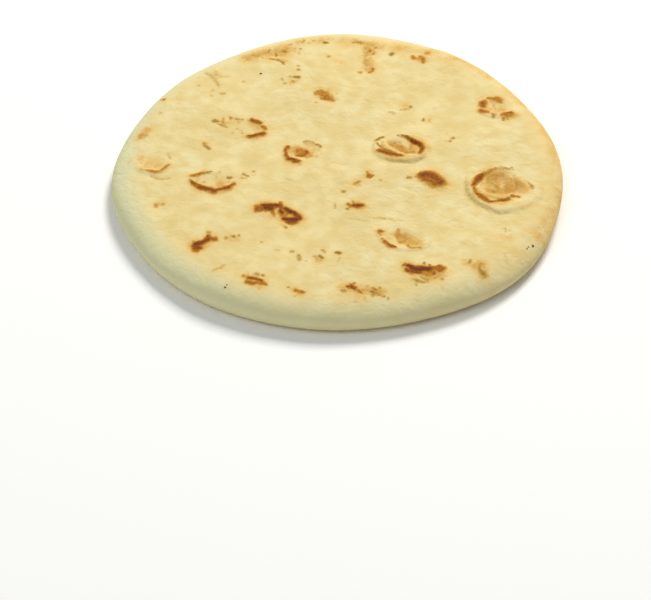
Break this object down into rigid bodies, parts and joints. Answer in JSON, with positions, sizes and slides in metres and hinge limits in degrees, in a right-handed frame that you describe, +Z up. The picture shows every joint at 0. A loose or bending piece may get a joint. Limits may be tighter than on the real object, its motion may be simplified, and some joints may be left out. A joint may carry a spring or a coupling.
{
  "type": "pita bread",
  "caption": "Flat round pita bread without a pocket: plump pale rim, sunken blisters with raised lips and toasted brown patches on its top face.",
  "frame": {"origin": "under the middle of the loaf, on the surface that it rests on", "axes": "+Z up through the thickness; -Y towards the side that is nearest to the viewer; +X to the viewer's right"},
  "size_m": [0.1788, 0.179, 0.0123],
  "materials": {
    "crust": "matte"
  },
  "bodies": {
    "root": {"pita_bread": "crust"}
  },
  "joints": []
}
